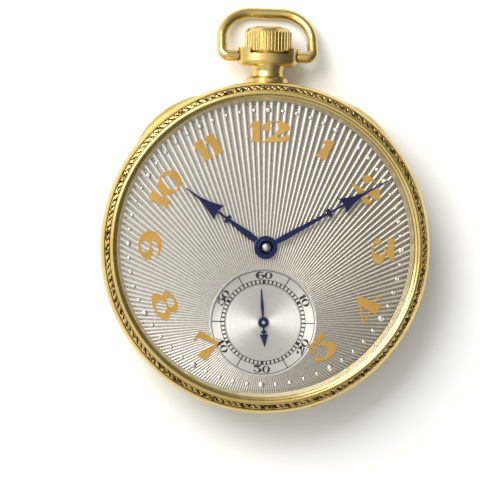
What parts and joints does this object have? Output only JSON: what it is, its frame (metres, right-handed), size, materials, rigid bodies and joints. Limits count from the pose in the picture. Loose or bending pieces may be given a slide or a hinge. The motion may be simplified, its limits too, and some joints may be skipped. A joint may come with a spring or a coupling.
{
  "type": "open face pocket watch",
  "caption": "Open face pocket watch: engraved round case, domed crystal, silvered dial with seconds dial, fluted crown, swinging bow, and a lever movement behind.",
  "frame": {"origin": "on the hands' axis, at the plane the back rests on", "axes": "+Z out of the dial, +Y towards 12 o'clock and the pendant, +X towards 3 o'clock"},
  "size_m": [0.045, 0.0554, 0.01],
  "materials": {
    "gold_case": "polished gold, lightly worn",
    "gold_engraved": "engraved gold, dark in the cuts",
    "crystal_glass": "clear domed glass",
    "silver_dial": "silvered, fine radial rays",
    "gold_figures": "polished applied gold",
    "pearl_dots": "pearl white",
    "black_print": "printed black",
    "blued_steel": "heat-blued polished steel",
    "nickel_plate": "nickel, striped",
    "gilt_brass": "satin gilt brass",
    "bright_steel": "polished hardened steel",
    "spring_steel": "grey spring steel",
    "ruby": "clear red ruby",
    "dark_seal": "dark waxed felt"
  },
  "bodies": {
    "case": {"case_middle": "gold_case", "pendant": "gold_case", "pendant_sleeve": "spring_steel", "dial": "silver_dial", "hour_numerals": "gold_figures", "minute_dots": "pearl_dots", "seconds_track": "black_print", "main_plate": "nickel_plate", "barrel_bridge": "nickel_plate", "train_bridge": "nickel_plate", "balance_cock": "nickel_plate", "pallet_bridge": "nickel_plate", "bridge_screws": "blued_steel", "case_screws": "bright_steel", "crown_wheel_seat": "bright_steel", "click_spring": "spring_steel", "jewels": "ruby", "hairspring": "blued_steel"},
    "bezel": {"bezel": "gold_engraved", "crystal": "crystal_glass"},
    "back": {"back_cover": "gold_case"},
    "bow": {"bow": "gold_case"},
    "crown_slide": {"crown_gasket": "dark_seal"},
    "crown": {"crown": "gold_case", "stem": "bright_steel"},
    "winding": {"winding_pinion": "bright_steel", "clutch_wheel": "bright_steel"},
    "crown_wheel": {"crown_wheel": "bright_steel"},
    "ratchet": {"ratchet_wheel": "bright_steel", "ratchet_screw": "blued_steel", "barrel_arbor": "bright_steel"},
    "fourth": {"fourth_wheel": "gilt_brass", "fourth_pinion": "bright_steel", "seconds_hand": "blued_steel"},
    "centre": {"centre_wheel": "gilt_brass", "centre_pinion": "bright_steel"},
    "third": {"third_wheel": "gilt_brass", "third_pinion": "bright_steel"},
    "escape": {"escape_wheel": "bright_steel", "escape_pinion": "bright_steel"},
    "barrel": {"barrel_drum": "gilt_brass", "barrel_lid": "gilt_brass", "mainspring": "spring_steel"},
    "minute": {"cannon_pinion": "bright_steel", "minute_hand": "blued_steel"},
    "minute_wheel": {"minute_wheel": "gilt_brass"},
    "hour": {"hour_wheel": "gilt_brass", "hour_hand": "blued_steel"},
    "intermediate": {"intermediate_wheel": "bright_steel"},
    "setting": {"setting_wheel": "bright_steel"},
    "click": {"click": "bright_steel"},
    "pallet": {"pallet_fork": "bright_steel", "pallet_stones": "ruby", "pallet_arbor": "bright_steel"},
    "balance": {"balance_wheel": "gilt_brass", "balance_screws": "gold_figures", "balance_staff": "bright_steel", "impulse_roller": "bright_steel"},
    "regulator": {"regulator": "bright_steel"},
    "clutch_lever": {"clutch_lever": "bright_steel"}
  },
  "joints": [
    {"name": "bezel_lift", "type": "slide", "parent": "case", "child": "bezel", "axis": [0, 0, 1], "range_m": [0, 0.008]},
    {"name": "back_lift", "type": "slide", "parent": "case", "child": "back", "axis": [0, 0, -1], "range_m": [0, 0.006]},
    {"name": "bow_swing", "type": "hinge", "parent": "case", "child": "bow", "pos_m": [0, 0.02605, 0.0039], "axis": [1, 0, 0], "range_deg": [-88, 142]},
    {"name": "crown_pull", "type": "slide", "parent": "case", "child": "crown_slide", "axis": [0, 1, 0], "range_m": [0, 0.0008]},
    {"name": "crown_turn", "type": "hinge", "parent": "crown_slide", "child": "crown", "pos_m": [0, 0.028, 0.0039], "axis": [0, 1, 0], "continuous": true},
    {"name": "winding_turn", "type": "hinge", "parent": "case", "child": "winding", "pos_m": [0, 0.0165, 0.0039], "axis": [0, 1, 0], "continuous": true},
    {"name": "crown_wheel_turn", "type": "hinge", "parent": "case", "child": "crown_wheel", "pos_m": [0, 0.0124, 0.0009], "axis": [0, 0, 1], "continuous": true},
    {"name": "ratchet_turn", "type": "hinge", "parent": "case", "child": "ratchet", "pos_m": [-0.00761, 0.00517, 0.0009], "axis": [0, 0, 1], "continuous": true},
    {"name": "seconds_turn", "type": "hinge", "parent": "case", "child": "fourth", "pos_m": [0, -0.0102, 0.003], "axis": [0, 0, -1], "continuous": true},
    {"name": "centre_turn", "type": "hinge", "parent": "case", "child": "centre", "pos_m": [0, 0, 0.003], "axis": [0, 0, -1], "continuous": true},
    {"name": "third_turn", "type": "hinge", "parent": "case", "child": "third", "pos_m": [0.00446, -0.00565, 0.003], "axis": [0, 0, -1], "continuous": true},
    {"name": "escape_turn", "type": "hinge", "parent": "case", "child": "escape", "pos_m": [-0.0032, -0.01383, 0.0037], "axis": [0, 0, -1], "continuous": true},
    {"name": "barrel_turn", "type": "hinge", "parent": "case", "child": "barrel", "pos_m": [-0.00761, 0.00517, 0.003], "axis": [0, 0, -1], "continuous": true},
    {"name": "hand_setting", "type": "hinge", "parent": "centre", "child": "minute", "pos_m": [0, 0, 0.006], "axis": [0, 0, -1], "continuous": true},
    {"name": "minute_wheel_turn", "type": "hinge", "parent": "case", "child": "minute_wheel", "pos_m": [0.0012, 0.00275, 0.0055], "axis": [0, 0, -1], "continuous": true},
    {"name": "hour_turn", "type": "hinge", "parent": "case", "child": "hour", "pos_m": [0, 0, 0.006], "axis": [0, 0, -1], "continuous": true},
    {"name": "intermediate_turn", "type": "hinge", "parent": "case", "child": "intermediate", "pos_m": [0.001, 0.00825, 0.0055], "axis": [0, 0, -1], "continuous": true},
    {"name": "setting_turn", "type": "hinge", "parent": "case", "child": "setting", "pos_m": [0.0006, 0.01298, 0.0055], "axis": [0, 0, -1], "continuous": true},
    {"name": "click_rock", "type": "hinge", "parent": "case", "child": "click", "pos_m": [-0.0112, 0.0122, 0.0009], "axis": [0, 0, 1], "range_deg": [-3, 6], "stiffness_Nm_per_rad": 0.00001},
    {"name": "pallet_rock", "type": "hinge", "parent": "case", "child": "pallet", "pos_m": [-0.00594, -0.0119, 0.0037], "axis": [0, 0, 1], "range_deg": [-5, 5]},
    {"name": "balance_swing", "type": "hinge", "parent": "case", "child": "balance", "pos_m": [-0.0092, -0.0096, 0.0025], "axis": [0, 0, 1], "range_deg": [-270, 270], "stiffness_Nm_per_rad": 0.0000027},
    {"name": "regulator_turn", "type": "hinge", "parent": "case", "child": "regulator", "pos_m": [-0.0092, -0.0096, 0.00095], "axis": [0, 0, 1], "range_deg": [-15, 15]},
    {"name": "clutch_lever_rock", "type": "hinge", "parent": "case", "child": "clutch_lever", "pos_m": [0.0062, 0.0154, 0.0055], "axis": [0, 0, 1], "range_deg": [-1.2, 1.2]}
  ],
  "couplings": [
    {"joint": "winding_turn", "follows": "crown_turn", "ratio": 1},
    {"joint": "crown_wheel_turn", "follows": "crown_turn", "ratio": 0.41176},
    {"joint": "ratchet_turn", "follows": "crown_turn", "ratio": -0.38889},
    {"joint": "centre_turn", "follows": "seconds_turn", "ratio": 0.016667},
    {"joint": "third_turn", "follows": "seconds_turn", "ratio": -0.13333},
    {"joint": "escape_turn", "follows": "seconds_turn", "ratio": -10},
    {"joint": "barrel_turn", "follows": "seconds_turn", "ratio": -0.0025},
    {"joint": "minute_wheel_turn", "follows": "hand_setting", "ratio": -0.33333},
    {"joint": "hour_turn", "follows": "hand_setting", "ratio": 0.083333},
    {"joint": "intermediate_turn", "follows": "hand_setting", "ratio": 0.23077},
    {"joint": "setting_turn", "follows": "hand_setting", "ratio": -0.5}
  ]
}
